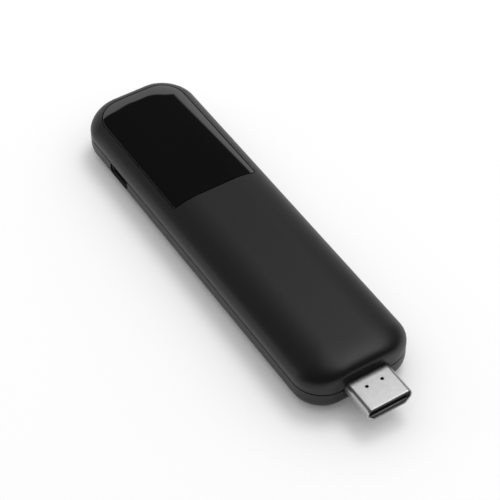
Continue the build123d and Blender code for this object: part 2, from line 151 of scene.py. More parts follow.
class Tree:
    """A node tree under construction."""

    def __init__(self, tree):
        self.tree = tree

    def set(self, socket, value):
        """Links a wire to a socket, or sets the socket's own value."""
        if isinstance(value, Wire):
            self.tree.links.new(value.socket, socket)
        else:
            socket.default_value = value

    def node(self, kind, inputs=None, output=0, **settings):
        """One output of a new node, whose inputs are filled by name or number."""
        made = self.tree.nodes.new(kind)
        for name, value in settings.items():
            setattr(made, name, value)
        for name, value in (inputs or {}).items():
            self.set(made.inputs[name], value)
        return Wire(self, made.outputs[output])

    def math(self, operation, *values):
        """The result of one Math node."""
        return self.node("ShaderNodeMath", dict(enumerate(values)), operation=operation)

    def vector(self, x, y, z):
        """A vector from three numbers or wires."""
        return self.node("ShaderNodeCombineXYZ", {"X": x, "Y": y, "Z": z})

    def close(self, geometry, material):
        """Ends a Geometry Nodes tree: its instances are made real and get their material."""
        real = self.node("GeometryNodeRealizeInstances", {"Geometry": geometry})
        coated = self.node("GeometryNodeSetMaterial", {"Geometry": real, "Material": material})
        self.set(self.tree.nodes.new("NodeGroupOutput").inputs[0], coated)


def geometry_tree(name, **inputs):
    """A Geometry Nodes tree with named inputs: floats, whole numbers and a material."""
    group = bpy.data.node_groups.new(name, "GeometryNodeTree")
    group.interface.new_socket("Geometry", in_out="OUTPUT", socket_type="NodeSocketGeometry")
    kinds = {int: "NodeSocketInt", float: "NodeSocketFloat", type(None): "NodeSocketMaterial"}
    for label, value in inputs.items():
        socket = group.interface.new_socket(label, in_out="INPUT", socket_type=kinds[type(value)])
        if value is not None:
            socket.default_value = value
    tree, entry = Tree(group), group.nodes.new("NodeGroupInput")
    return tree, SimpleNamespace(**{s.name: Wire(tree, s) for s in entry.outputs if s.name})


def grow(tree, name, **values):
    """Runs a Geometry Nodes tree once and keeps its result as a plain mesh object."""
    host = placed(name, bpy.data.meshes.new(name))
    modifier = host.modifiers.new("nodes", "NODES")
    modifier.node_group = tree.tree
    for item in tree.tree.interface.items_tree:
        if item.in_out == "INPUT" and item.name in values:
            modifier[item.identifier] = values[item.name]
    bake(host)
    return host


def bake(thing):
    """Replaces an object's mesh by the evaluated one and drops its modifiers."""
    bpy.context.view_layer.update()
    shown = thing.evaluated_get(bpy.context.evaluated_depsgraph_get())
    mesh = bpy.data.meshes.new_from_object(shown)
    thing.modifiers.clear()
    thing.data = mesh


# %% [markdown]
# ## The rolled form of the case
# The case is one simple rule: a rounded rectangle that is drawn in as it climbs over
# the shoulder. The roll reaches further in from the long sides than from the ends, and
# on the front it is nearly a quarter round. A grid's points take their corner from their
# column and their turn of the roll from their row, so one short tree makes the outer
# form, the room inside it and every form between them.

# %% Sizes of the roll
wall = 1.5
corner_at_side, corner_at_face = 9.0, 4.6
rear_roll = (11.8, 9.0, 5.3)  # in from the sides, in from the ends, height
end_fullness = 2.5  # the rear roll keeps the ends steep for longer than an ellipse would
front_roll = (5.2, 5.2, 4.5)

# %% The rolled form as a Geometry Nodes tree
form, given = geometry_tree(
    "rolled form", Length=1.0, Width=1.0, Thick=1.0, Middle=0.0, Corner=1.0, Tuck=0.0,
    RearSide=1.0, RearEnd=1.0, RearHeight=1.0, FrontSide=1.0, FrontEnd=1.0, FrontHeight=1.0,
    EndFullness=1.0, CornerSteps=24, RollSteps=24, Finish=None)
per_corner = given.CornerSteps + 1.0
columns = per_corner * 4.0 + 1.0
rows = given.RollSteps * 2.0 + 4.0
grid = form.node("GeometryNodeMeshGrid", {"Vertices X": columns, "Vertices Y": rows})
index = form.node("GeometryNodeInputIndex")
column = form.math("FLOOR", index / rows)
row = form.math("MODULO", index, rows)

quarter = form.math("FLOOR", column / per_corner)
in_corner = form.math("MODULO", column, per_corner) / given.CornerSteps
around = (quarter + in_corner) * (pi / 2)
diagonal = (quarter + 0.5) * (pi / 2)
side_x = form.math("SIGN", form.math("COSINE", diagonal))
side_y = form.math("SIGN", form.math("SINE", diagonal))

middle_row = given.RollSteps + 1.5
from_middle = form.math("ABSOLUTE", row - middle_row)
step = form.math("MINIMUM", from_middle - 0.5, given.RollSteps)
turn = step / given.RollSteps * (pi / 2)
inward = 1.0 - form.math("COSINE", turn)
down = 1.0 - form.math("SINE", turn)
is_rear = form.math("GREATER_THAN", row, middle_row)
is_spine = form.math("GREATER_THAN", from_middle, middle_row - 0.5)


def either(chooser, when_no, when_yes):
    """One of two numbers, by a wire that is 0 or 1."""
    choices = {"Switch": chooser, "False": when_no, "True": when_yes}
    return form.node("GeometryNodeSwitch", choices, input_type="FLOAT")


in_side = either(is_rear, given.FrontSide, given.RearSide) * inward
in_end = either(is_rear, given.FrontEnd * inward, given.RearEnd * inward ** given.EndFullness)
half_x = given.Length * 0.5 - in_end
half_y = given.Width * 0.5 - in_side
corner = given.Corner - given.Tuck * inward
x = side_x * (half_x - corner) + corner * form.math("COSINE", around)
y = side_y * (half_y - corner) + corner * form.math("SINE", around)
z = either(is_rear, given.FrontHeight * down, given.Thick - given.RearHeight * down)
spine_x = side_x * (half_x - half_y)
place = form.vector(given.Middle + either(is_spine, x, spine_x), either(is_spine, y, 0.0), z)
moved = form.node("GeometryNodeSetPosition", {"Geometry": grid, "Position": place})
merged = form.node("GeometryNodeMergeByDistance", {"Geometry": moved, "Distance": 1e-4})
form.close(form.node("GeometryNodeSetShadeSmooth", {"Geometry": merged}), given.Finish)
print("rolled form:", len(form.tree.nodes), "nodes")


def rolled_form(name, margin, height, keep_above):
    """The case's form drawn in by a margin, cut flat at a height and kept on one side of it."""
    rear, front = np.subtract(rear_roll, margin), np.subtract(front_roll, margin)
    made = grow(form, name,
                Length=case_length - 2 * margin, Width=case_width - 2 * margin,
                Thick=case_thick - 2 * margin, Middle=case_mid,
                Corner=corner_at_side - margin, Tuck=corner_at_side - corner_at_face,
                RearSide=rear[0], RearEnd=rear[1], RearHeight=rear[2], EndFullness=end_fullness,
                FrontSide=front[0], FrontEnd=front[1], FrontHeight=front[2])
    made.data.transform(Matrix.Translation((0, 0, margin)))
    return cut_flat(outwards(made), height, keep_above)


# %% [markdown]
# ## Mesh helpers
# Shells are carved as a toolmaker would do it: a closed solid is cut, joined or kept
# where it meets another closed solid. Rings of points that are skinned over give both
# the solids and the cutters, and every cutter's mouth flares a little, so that each
# opening gets the small round edge that catches the light on a moulded part.

# %% Mesh helpers
import bmesh


def edit(thing, change):
    """Runs a change on a bmesh copy of an object's mesh and writes it back."""
    shape = bmesh.new()
    shape.from_mesh(thing.data)
    change(shape)
    shape.to_mesh(thing.data)
    shape.free()
    return thing


def outwards(thing):
    """Merges doubles and turns every face of a closed mesh outwards."""
    def change(shape):
        bmesh.ops.remove_doubles(shape, verts=shape.verts, dist=1e-5)
        bmesh.ops.recalc_face_normals(shape, faces=shape.faces)
        if shape.calc_volume(signed=True) < 0:
            bmesh.ops.reverse_faces(shape, faces=shape.faces)
    return edit(thing, change)


def cut_flat(thing, height, keep_above):
    """Cuts a closed mesh at a height and closes the cut."""
    def change(shape):
        cut = bmesh.ops.bisect_plane(
            shape, geom=shape.verts[:] + shape.edges[:] + shape.faces[:],
            plane_co=(0, 0, height), plane_no=(0, 0, 1),
            clear_inner=keep_above, clear_outer=not keep_above)
        rim = [part for part in cut["geom_cut"] if isinstance(part, bmesh.types.BMEdge)]
        bmesh.ops.edgeloop_fill(shape, edges=rim)
        bmesh.ops.recalc_face_normals(shape, faces=shape.faces)
    return edit(thing, change)


def carve(body, tool, way="DIFFERENCE"):
    """Cuts a tool out of a body, joins it on, or keeps what the two share. The tool is used up."""
    step = body.modifiers.new("carve", "BOOLEAN")
    step.operation, step.object, step.solver = way, tool, "MANIFOLD"
    bake(body)
    bpy.data.objects.remove(tool)
    return body


def united(pieces):
    """Joins the second and later pieces on to the first."""
    for other in pieces[1:]:
        carve(pieces[0], other, "UNION")
    return pieces[0]


def skin(name, rings, loop=False):
    """A closed mesh over rings of equal counts of points, joined in a loop or capped at both ends.

    An end ring whose points lie in one line closes by itself and gets no cap.
    """
    index = np.arange(len(rings) * len(rings[0])).reshape(len(rings), -1)
    low = index if loop else index[:-1]
    high = np.roll(index, -1, axis=0)[:len(low)]
    quads = np.stack([low, np.roll(low, -1, axis=1), np.roll(high, -1, axis=1), high], axis=-1)
    faces = quads.reshape(-1, 4).tolist()
    for end in () if loop else (0, -1):
        spread = np.linalg.svd(rings[end] - rings[end].mean(axis=0), compute_uv=False)
        if spread[1] > 1e-3:
            faces.append(index[end].tolist())
    mesh = bpy.data.meshes.new(name)
    mesh.from_pydata(np.concatenate(rings).tolist(), [], faces)
    mesh.shade_smooth()
    return outwards(placed(name, mesh))


least_radius = 0.05  # of a corner that is drawn in


def rounded(corners, radii, growth=0.0, arc_steps=8, spacing=np.inf):
    """Points round a convex outline with rounded corners, pushed out by a growth.

    The count of points is the same for every growth, so that the outlines can be skinned.
    """
    corners, radii = np.array(corners, float), np.broadcast_to(radii, len(corners))
    ahead = np.roll(corners, -1, axis=0) - corners
    lengths = np.linalg.norm(ahead, axis=1)
    along = ahead / lengths[:, None]
    out = np.column_stack([along[:, 1], -along[:, 0]])
    arcs = []
    for k, corner in enumerate(corners):
        facing = out[k - 1] @ out[k]
        radius = max(radii[k] + growth, least_radius)
        turn = np.arccos(np.clip(facing, -1, 1))
        tip = corner + growth * (out[k - 1] + out[k]) / (1 + facing)
        centre = tip - radius * np.tan(turn / 2) * along[k - 1] - radius * out[k - 1]
        start = np.arctan2(out[k - 1][1], out[k - 1][0])
        angles = start + np.linspace(0, turn, arc_steps + 1)
        arcs.append(centre + radius * np.column_stack([np.cos(angles), np.sin(angles)]))
    points = []
    for k, arc in enumerate(arcs):
        points += list(arc)
        following = arcs[(k + 1) % len(arcs)][0]
        extra = int(lengths[k] // spacing)
        for share in np.linspace(0, 1, extra + 2)[1:-1]:
            points.append(arc[-1] + (following - arc[-1]) * share)
    return np.array(points)


def box_corners(low, high):
    """The corners of a rectangle, counter-clockwise."""
    return np.array([(low[0], low[1]), (high[0], low[1]), (high[0], high[1]), (low[0], high[1])])


def box_about(middle, *sides):
    """The corners of a rectangle about a point, by its two sides."""
    half = np.array(sides) / 2
    return box_corners(middle - half, middle + half)


# %% [markdown]
# ## The surface as a formula
# The gloss panel and its pocket need the case's surface at any point, and not only at
# the corners of the mesh. These functions give its height and its exact normal. Cuts
# leave long thin faces, which shade badly by themselves, so the exact normals are stored
# in the finished meshes.

# %% The surface as a formula
def section_gap(x, y, turn, roll=rear_roll, fullness=end_fullness, margin=0.0):
    """How far plan points lie outside the case's section at a turn of its roll."""
    inward = 1 - np.cos(turn)
    corner = corner_at_side - margin - (corner_at_side - corner_at_face) * inward
    at_end = (roll[1] - margin) * inward ** fullness
    over_x = np.abs(x - case_mid) - (case_length / 2 - margin - at_end - corner)
    over_y = np.abs(y) - (case_width / 2 - margin - (roll[0] - margin) * inward - corner)
    past = np.hypot(np.maximum(over_x, 0), np.maximum(over_y, 0))
    return past + np.minimum(np.maximum(over_x, over_y), 0) - corner, over_x, over_y


def rear_turn(x, y, margin=0.0):
    """The turn of the rear roll over plan points: 0 at the wall, a quarter turn on the flat face."""
    low, high = np.zeros_like(x), np.full_like(x, pi / 2)
    for _ in range(40):
        half = (low + high) / 2
        outside = section_gap(x, y, half, margin=margin)[0] > 0
        low, high = np.where(outside, low, half), np.where(outside, half, high)
    return (low + high) / 2


def rear_height(x, y, margin=0.0):
    """Height of the rear surface over plan points."""
    return case_thick - margin - (rear_roll[2] - margin) * (1 - np.sin(rear_turn(x, y, margin)))


def form_normals(points):
    """Exact normals of the case's outer form, and how far the points lie off it."""
    x, y, z = points.T
    rear = z > parting
    roll = [np.where(rear, r, f) for r, f in zip(rear_roll, front_roll)]
    fullness = np.where(rear, end_fullness, 1.0)
    below_face = np.where(rear, case_thick - z, z)
    by_height, by_plan = np.arcsin(np.clip(1 - below_face / roll[2], 0, 1)), rear_turn(x, y)
    shallow = rear & (by_plan > pi / 4)
    turn = np.where(shallow, by_plan, by_height)
    gap, over_x, over_y = section_gap(x, y, turn, roll, fullness)
    off = np.where(turn > pi / 2 - 1e-4, np.abs(below_face) + np.maximum(gap, 0), np.abs(gap))
    off = np.where(shallow, np.abs(below_face - roll[2] * (1 - np.sin(turn))), off)
    around = np.arctan2(np.maximum(over_y, 0), np.maximum(over_x, 0))
    tuck = corner_at_side - corner_at_face
    flat = roll[2] * np.cos(turn)
    end = roll[1] * fullness * (1 - np.cos(turn)) ** (fullness - 1)
    up = np.sin(turn) * (np.cos(around) * (end - tuck) + np.sin(around) * (roll[0] - tuck) + tuck)
    normals = np.column_stack([np.sign(x - case_mid) * np.cos(around) * flat,
                               np.sign(y) * np.sin(around) * flat, np.where(rear, up, -up)])
    return normals / np.linalg.norm(normals, axis=1)[:, None], off


near_form, near_facing = 0.03, np.cos(radians(12))  # how near a corner lies, and its face points


def shade(thing, sharp=35.0, exact=False):
    """Smooth shading with sharp edges, with the form's exact normals or ones that keep flats flat."""
    mesh = thing.data
    mesh.shade_smooth()
    mesh.set_sharp_from_angle(angle=radians(sharp))
    if not exact:
        weigh = thing.modifiers.new("weigh", "WEIGHTED_NORMAL")
        weigh.keep_sharp = True
        bake(thing)
        return thing
    counts = [face.loop_total for face in mesh.polygons]
    owner = np.repeat(np.arange(len(counts)), counts)
    facing = np.array([face.normal for face in mesh.polygons])[owner]
    normals = np.array([normal.vector for normal in mesh.corner_normals])
    true, off = form_normals(np.array([mesh.vertices[loop.vertex_index].co for loop in mesh.loops]))
    on_form = (off < near_form) & (np.sum(true * facing, axis=1) > near_facing)
    whole = np.ones(len(counts), bool)
    np.logical_and.at(whole, owner, on_form)
    chosen = whole[owner]
    normals[chosen] = true[chosen]
    mesh.normals_split_custom_set(normals.tolist())
    print(f"{thing.name}: exact normals on {int(whole.sum())} of {len(counts)} faces")
    return thing


# %% [markdown]
# ## Rounded edges and mouths
# An edge's rings are given as pairs: how far the outline grows, and how far the ring
# falls back or stands out. The arc of a cutter's mouth stops short of flat and runs on
# straight, so that it crosses the surface at a clear angle.

# %% Rounded edges and mouths
edge_round = 0.15
mouth_turns = (0, 24, 48, 70)
mouth_flare = 1.3  # how far a mouth opens, in radii of its edge


def round_edge(radius, turns=(0, 30, 60, 90)):
    """(growth, fall) of the rings of an edge that is rounded in, by degrees from its side."""
    return [(-radius * (1 - np.cos(t)), radius * (1 - np.sin(t))) for t in np.radians(turns)]


def mouth(gap, depth, above, radius=edge_round):
    """(growth, rise) of the rings of a cutter, from its floor to clear of the surface."""
    arc = [(gap - growth, -fall) for growth, fall in round_edge(radius, mouth_turns)]
    straight = [(gap + 1.1 * radius, 0.12 * radius), (gap + mouth_flare * radius, above)]
    return [(gap, -depth)] + arc + straight


# %% [markdown]
# ## Finishes
# Every finish is made of the same three things: a colour that drifts a little, an
# uneven roughness, and a fine grain in the bump. What tells the materials apart is the
# size of the grain, its direction, and how strong it is. The patterns are placed by
# Object coordinates, so they stay on the piece.

# %% Helpers for finishes
patch = 12.0  # a colour drifts over this many grains


def noise(tree, size, drawn=1):
    """Noise with features of about a size in millimetres, drawn out some times along the stick."""
    place = tree.node("ShaderNodeTexCoord", output="Object")
    scaled = tree.node("ShaderNodeMapping", {"Vector": place, "Scale": (1 / drawn, 1, 1)})
    return tree.node("ShaderNodeTexNoise", {"Vector": scaled, "Scale": 1 / (size * MM)}, output="Fac")


def ramp(tree, value, start, end, low=0.0, high=1.0, kind="LINEAR"):
    """A number that goes from low to high while a value goes from start to end."""
    return tree.node("ShaderNodeMapRange", {
        "Value": value, "From Min": start, "From Max": end, "To Min": low, "To Max": high},
        interpolation_type=kind)


def between(tree, factor, low, high):
    """A number that follows noise from low to high. Noise seldom leaves 0.3 to 0.7."""
    return ramp(tree, factor, 0.3, 0.7, low, high)


def blend(tree, factor, dark, light):
    """A colour that follows a factor from dark to light. A single number is a grey."""
    dark, light = (c if isinstance(c, Wire) else (*np.broadcast_to(c, 3), 1) for c in (dark, light))
    return tree.node("ShaderNodeMix", {0: factor, 6: dark, 7: light}, output=2, data_type="RGBA")


def finish(name, dark, light, rough, grain, bump=0.0, drawn=1, **sockets):
    """A material: two colours, two roughnesses, the grain's size and depth in millimetres."""
    material = bpy.data.materials.new(name)
    material.use_nodes = True
    tree = Tree(material.node_tree)
    shader = material.node_tree.nodes["Principled BSDF"].inputs
    fine, broad = noise(tree, grain, drawn), noise(tree, grain * patch)
    tree.set(shader["Base Color"], blend(tree, between(tree, broad, 0, 1), dark, light))
    tree.set(shader["Roughness"], between(tree, fine, *rough))
    if bump:
        tree.set(shader["Normal"], tree.node("ShaderNodeBump", {"Height": fine, "Distance": bump * MM}))
    for socket, value in sockets.items():
        shader[socket.replace("_", " ")].default_value = value
    return material


# %% [markdown]
# ### The finishes of what shows
# The case is black plastic with the fine spark-eroded grain of its mould. The panel is
# the same black behind a hard gloss. The plug is drawn steel sheet, whose rolling lines
# run along it. In the mouth there is dull moulded plastic with plated contacts.

# %% The finishes of what shows
mouth_plastic = finish("mouth_plastic", 0.012, 0.018, (0.42, 0.58), 0.15, 0.004)
# painted shade: the socket's steel is made dark, standing in for the shade inside its slot
socket_steel_painted_shade = finish("socket_steel_painted_shade", 0.055, 0.080, (0.42, 0.55), 0.2, 0.001, Metallic=1.0)
finish_of_slot = {
    "case_plastic": finish(
        "case_plastic", 0.0040, 0.0050, (0.38, 0.44), 0.12, 0.006, Specular_IOR_Level=0.42),
    "panel_gloss": finish("panel_gloss", 0.0014, 0.0020, (0.020, 0.045), 9.0, IOR=1.65),
    "plug_steel": finish("plug_steel", 0.47, 0.51, (0.33, 0.37), 0.09, 0.0008, 14, Metallic=1.0),
    "moulded_insulator": mouth_plastic,
    "contact_gold": finish(
        "contact_plate", (0.62, 0.45, 0.22), (0.74, 0.56, 0.30), (0.22, 0.34), 0.2, 0.001, Metallic=1.0)}

# %% [markdown]
# ### The finishes inside
# Nothing of these shows while the case is shut, but a stick that is taken apart should
# look right too: solder mask, moulded chips, tinned cans, soft pads and bare aluminium.

# %% The finishes inside
finish_of_slot |= {
    "board": finish("solder_mask", (0.004, 0.030, 0.014), (0.008, 0.050, 0.024), (0.22, 0.36), 1.6, 0.01),
    "chip_black": finish("chip_epoxy", 0.018, 0.026, (0.50, 0.66), 0.08, 0.004),
    "can_metal": finish(
        "can_tin", (0.50, 0.50, 0.48), (0.62, 0.62, 0.60), (0.26, 0.42), 0.8, 0.002, Metallic=1.0),
    "ferrite": finish("ferrite", (0.030, 0.028, 0.027), (0.050, 0.047, 0.045), (0.55, 0.75), 0.10, 0.01),
    "ceramic": finish("ceramic", (0.26, 0.17, 0.09), (0.36, 0.25, 0.14), (0.40, 0.55), 0.08, 0.002),
    "thermal_pad": finish("thermal_pad", (0.20, 0.24, 0.30), (0.25, 0.30, 0.36), (0.70, 0.85), 0.12, 0.01),
    "spreader_aluminium": finish("aluminium", 0.70, 0.78, (0.28, 0.40), 0.10, 0.001, 20, Metallic=1.0),
    "adhesive": finish("tape", 0.010, 0.016, (0.60, 0.75), 0.4, 0.01),
    "screw_steel": finish("screw_steel", 0.42, 0.52, (0.28, 0.40), 0.15, 0.001, Metallic=1.0)}
print("finishes:", ", ".join(finish_of_slot))


def finished(thing, slot, *nodes, material=None):
    """Brings a piece to metres, gives it its finish and sets it on the frame in place of its nodes."""
    thing.data.transform(Matrix.Scale(MM, 4))
    thing.data.materials.clear()
    thing.data.materials.append(material or finish_of_slot[slot])
    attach(thing, "root")
    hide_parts(*nodes)
    print(f"{thing.name}: {len(thing.data.polygons)} faces, stands for {', '.join(nodes)}")
    return thing


# %% [markdown]
# ## The rear half of the case
# The outer form is cut at the parting line and hollowed by the same form drawn in by
# the wall. Where the panel is let in, the wall is thicker. Posts for the board's screws
# hang inside, the lower edge has a step for the other half's lip, and the outer edge is
# eased, because two sharp edges would never meet in one clean line.

# %% Sizes of the rear half
lip_outer, lip_room, lip_top = 0.85, 0.1, parting + lip_height
bed_reach, bed_margin, bed_overlap = 2.6, 2.15, 0.02
pocket_margin, pocket_clear, panel_gap = 1.15, 0.8, 0.2
panel_near_radius, panel_far_radius = 0.6, 7.0
post_radius, screw_radius, screw_head, screw_depth = 1.9, 0.6, 1.25, 2.4
post_top = case_thick - 1.6  # inside the wall, which has come down with the roll here
roll_start = case_thick - rear_roll[2]
beyond = 1.0  # how far a cutter reaches past what it cuts

panel_corners = box_corners(panel_low, panel_high)
panel_radii = [panel_far_radius, panel_near_radius, panel_near_radius, panel_far_radius]
screw_low, screw_high = node_box("board_screws")
screw_places = [(x, y) for x in (screw_low[0] + screw_head, screw_high[0] - screw_head)
                for y in (screw_low[1] + screw_head, screw_high[1] - screw_head)]


def panel_outline(growth):
    """The panel's plan, with points along its straight runs too, because they bend with the roll."""
    return rounded(panel_corners, panel_radii, growth, arc_steps=12, spacing=1.5)


def case_outline(margin):
    """The case's plan at its sides."""
    return rounded(box_about((case_mid, 0), case_length, case_width), corner_at_side, -margin, 24)


def level(outline, height):
    """A ring: a plan outline at a height, which may differ from point to point."""
    return np.column_stack([outline, np.broadcast_to(height, len(outline))])


def prism(outline, low, high):
    """A straight solid over a plan outline."""
    return skin("prism", [level(outline, low), level(outline, high)])


def toward_spine(outline, share):
    """An outline drawn in towards the middle line of the panel."""
    spine = outline.copy()
    half = (panel_high[1] - panel_low[1]) / 2
    spine[:, 0] = np.clip(outline[:, 0], panel_low[0] + half, panel_high[0] - half)
    spine[:, 1] = 0
    return spine + (outline - spine) * share


def on_surface(outline, margin=0.0, rise=0.0):
    """A ring on the case's rear surface, on the one at a margin inside it, or clear of either."""
    return level(outline, rear_height(outline[:, 0], outline[:, 1], margin) + rise)


def over_surface(outline, margin, shares):
    """Rings that cover the room inside an outline with the case's surface at a margin."""
    return [on_surface(toward_spine(outline, share), margin) for share in shares]


# %% The pocket for the panel
pocket_rings = over_surface(panel_outline(panel_gap), pocket_margin, np.linspace(0, 1, 14))
for growth, rise in mouth(panel_gap, pocket_margin, pocket_clear)[1:]:
    pocket_rings.append(on_surface(panel_outline(growth), rise=rise))
pocket_rings.append(level(panel_outline(panel_gap + mouth_flare * edge_round), case_thick + beyond))
pocket = skin("pocket", pocket_rings)
print("pocket cutter:", len(pocket.data.polygons), "faces")

# %% [markdown]
# ### The openings for the plug and the socket
# The plug's section is wide at the top and slants in below. Its opening is the same
# outline, a little larger, cut through the end wall. The power socket lies behind a slot
# with round ends, whose upper edge is the parting line.

# %% Sizes of the openings
plug_mid = np.array([0.0, (plug_low[2] + plug_high[2]) / 2])
plug_corners = [(-6.95, 2.225), (-6.95, -0.275), (-5.2, -2.225),
                (5.2, -2.225), (6.95, -0.275), (6.95, 2.225)]
plug_radii, plug_room = [1.3, 0.8, 0.8, 0.8, 0.8, 1.3], 0.2
port_length, port_height, port_radius = 9.9, 3.5, 1.4
port_over = 0.05  # its cutter reaches just past the parting line
case_end = rear_high[0]


def plug_outline(growth):
    """The plug's section, across the stick and up."""
    return rounded(plug_corners, plug_radii, growth, arc_steps=6, spacing=2.0) + plug_mid


def across(outline, x):
    """A ring that stands across the stick, at a place along it."""
    return np.column_stack([np.broadcast_to(x, len(outline)), outline])


def beside(outline, y):
    """A ring that stands along the stick's side, at a place across it."""
    return np.column_stack([outline[:, 0], np.broadcast_to(y, len(outline)), outline[:, 1]])


def roll_inset(drop, reach, height, fullness=1.0):
    """How far a roll has drawn the wall in, at a distance from the face."""
    turn = np.arcsin(np.clip(1 - drop / height, 0, 1))
    return reach * (1 - np.cos(turn)) ** fullness


def plug_cutter():
    """Cuts the plug's opening through the end wall."""
    rings = []
    for growth, rise in mouth(plug_room, 2 * wall, beyond):
        outline = plug_outline(growth)
        drawn_in = roll_inset(case_thick - outline[:, 1], *rear_roll[1:], end_fullness)
        rings.append(across(outline, case_end - drawn_in + rise))
    return skin("plug cutter", rings)


def port_cutter():
    """Cuts the slot for the power socket through the front half's side."""
    middle = (socket_low[0] + socket_high[0]) / 2
    corners = box_corners((middle - port_length / 2, parting - port_height),
                          (middle + port_length / 2, parting + port_over))
    rings = []
    for growth, rise in mouth(0.0, 2 * wall, beyond):
        outline = rounded(corners, port_radius, growth, spacing=1.5)
        drawn_in = roll_inset(outline[:, 1], front_roll[0], front_roll[2])
        rings.append(beside(outline, drawn_in - case_width / 2 - rise))
    return skin("port cutter", rings)


# %% [markdown]
# ### Eased edges at the parting line
# A band is a small profile that runs round the case. Its points are given as pairs, how
# far in from the case's side and at what height.

# %% Eased edges at the parting line
ease = 0.12
groove_depth, groove_floor = 0.5, parting - 0.3


def band(name, profile):
    """A ring-shaped solid or cutter that follows the case's sides."""
    return skin(name, [level(case_outline(inset), height) for inset, height in profile], loop=True)


def eased(edge, way):
    """The part of a profile that eases an edge at a height, and then leaves the case up or down."""
    arc = [(0.5, 0.13), (0.16, 0.45), (-0.3, 1.5), (-beyond / ease, 1.5)]
    return [(inset * ease, edge + way * rise * ease) for inset, rise in arc]


rear_edge = [(-beyond, parting - beyond), (ease, parting - beyond), (ease, parting)] + eased(parting, 1)
groove = [(-beyond, parting + beyond), (groove_depth, parting + beyond),
          (groove_depth, groove_floor)] + eased(groove_floor, -1)

# %% Building the rear half
rear = rolled_form("rear_case", 0.0, parting, keep_above=True)
room = rolled_form("room", wall, parting - beyond, keep_above=True)
carve(room, prism(panel_outline(bed_reach), roll_start, case_thick + beyond))
under = rolled_form("under the panel", bed_margin, parting - beyond, keep_above=True)
over_bed = prism(panel_outline(bed_reach + bed_overlap), parting - 2 * beyond, case_thick + beyond)
carve(under, over_bed, "INTERSECT")
step = prism(case_outline(lip_outer - lip_room), parting - beyond, lip_top + lip_room)
for cutter in (room, under, step):
    carve(rear, cutter)
for place in screw_places:
    circle = rounded(box_about(place, 2 * post_radius, 2 * post_radius), post_radius)
    post = prism(circle, board_high[2], post_top)
    hole = (circle - place) * screw_radius / post_radius + place
    carve(post, prism(hole, board_low[2], board_high[2] + screw_depth))
    carve(rear, post, "UNION")
for cutter in (pocket, plug_cutter(), band("eased edge", rear_edge)):
    carve(rear, cutter)
finished(shade(rear, exact=True), "case_plastic", "rear_shell")

# %% [markdown]
# ## The front half of the case
# A shallow tray whose lip stands up inside the rear half. A fine groove outside the lip
# makes the dark line that runs round the stick, and the socket's slot is cut into its
# side, right up to that line.

# %% Building the front half
lip_foot, lip_bevel = parting - 0.5, 0.15
lip = [(lip_outer, lip_foot), (lip_outer, lip_top - lip_bevel), (lip_outer + lip_bevel, lip_top),
       (wall, lip_top), (wall, lip_foot)]
front = rolled_form("front_case", 0.0, parting, keep_above=False)
carve(front, rolled_form("tray", wall, parting + beyond, keep_above=False))
carve(front, band("lip", lip), "UNION")
for cutter in (band("groove", groove), plug_cutter(), port_cutter()):
    carve(front, cutter)
finished(shade(front, exact=True), "case_plastic", "front_shell")

# %% [markdown]
# ## The gloss panel
# A curved plate whose upper face carries the case's surface on, so it is built from the
# same formula and needs no cutting. What makes it read as glass is its thin round edge.

# %% The gloss panel
panel_thick = 1.0
panel_rings = over_surface(panel_outline(-edge_round), 0.0, np.linspace(0, 1, 24))
for growth, fall in round_edge(edge_round, (68, 45, 22, 0)):
    panel_rings.append(on_surface(panel_outline(growth), rise=-fall))
panel_rings += over_surface(panel_outline(0), panel_thick, np.linspace(1, 0, 12))
finished(shade(skin("gloss_window", panel_rings), exact=True), "panel_gloss", "gloss_panel")

# %% [markdown]
# ## The plug's steel shell
# A strip of sheet is folded into the plug's section. It is skinned as one loop: along
# the outside, round the lip at the mouth and back along the inside, so it has a true
# thickness. The lip is bent in along an arc, which guides the plug into its socket and
# catches a thin bright line. Two small holes are punched in the upper face, and the
# fold's dovetailed seam runs along the underside.

# %% Sizes of the plug
sheet = 0.3
bend_radius, bend_turn = 0.80, 38.0  # of the lip, on its outside
hole_size, hole_corner, hole_edge = 0.85, 0.30, 0.07
hole_pitch, hole_from_case = 4.8, 3.3
seam_gap, seam_depth, seam_step = 0.07, 0.12, 1.1
seam_place = 0.62  # of the way from the plug's root to its tip
plug_root, plug_tip = plug_low[0], plug_high[0]
plug_top, plug_bottom = plug_high[2], plug_low[2]
hole_places = [(case_end + hole_from_case, hand * hole_pitch / 2) for hand in (-1, 1)]

# %% The plug's steel shell
turns = np.radians(np.linspace(0, bend_turn, 7))
bend_start = plug_tip - bend_radius * np.sin(turns[-1])
shell_rings = [across(plug_outline(0), plug_root)]
for radius, way in ((bend_radius, 1), (bend_radius - sheet, -1)):
    for turn_in in turns[::way]:
        shell_rings.append(across(plug_outline(radius * np.cos(turn_in) - bend_radius),
                                  bend_start + radius * np.sin(turn_in)))
shell_rings.append(across(plug_outline(-sheet), plug_root))
plug = skin("hdmi_plug_shell", shell_rings, loop=True)
for place in hole_places:
    corners = box_about(place, hole_size, hole_size)
    rings = [level(rounded(corners, hole_corner, growth, arc_steps=5), plug_top + rise)
             for growth, rise in mouth(0.0, 3 * sheet, sheet, hole_edge)]
    carve(plug, skin("hole", rings))

# %% The seam, a hairline with one dovetail
middle = plug_root + seam_place * (plug_tip - plug_root)
run = [(plug_root - beyond, 0), (middle - seam_step, 0), (middle - 1.5 * seam_step, seam_step),
       (middle + 1.5 * seam_step, seam_step), (middle + seam_step, 0), (plug_tip + beyond, 0)]
seam = []
for start, end in zip(run, run[1:]):
    run_length = np.hypot(*np.subtract(end, start))
    along = np.subtract(end, start) / run_length * seam_gap / 2
    side = np.array([-along[1], along[0]])
    outline = [start - along - side, end + along - side, end + along + side, start - along + side]
    seam.append(prism(outline, plug_bottom - beyond, plug_bottom + seam_depth))
carve(plug, united(seam))
finished(shade(plug, sharp=40), "plug_steel", "hdmi_shell")
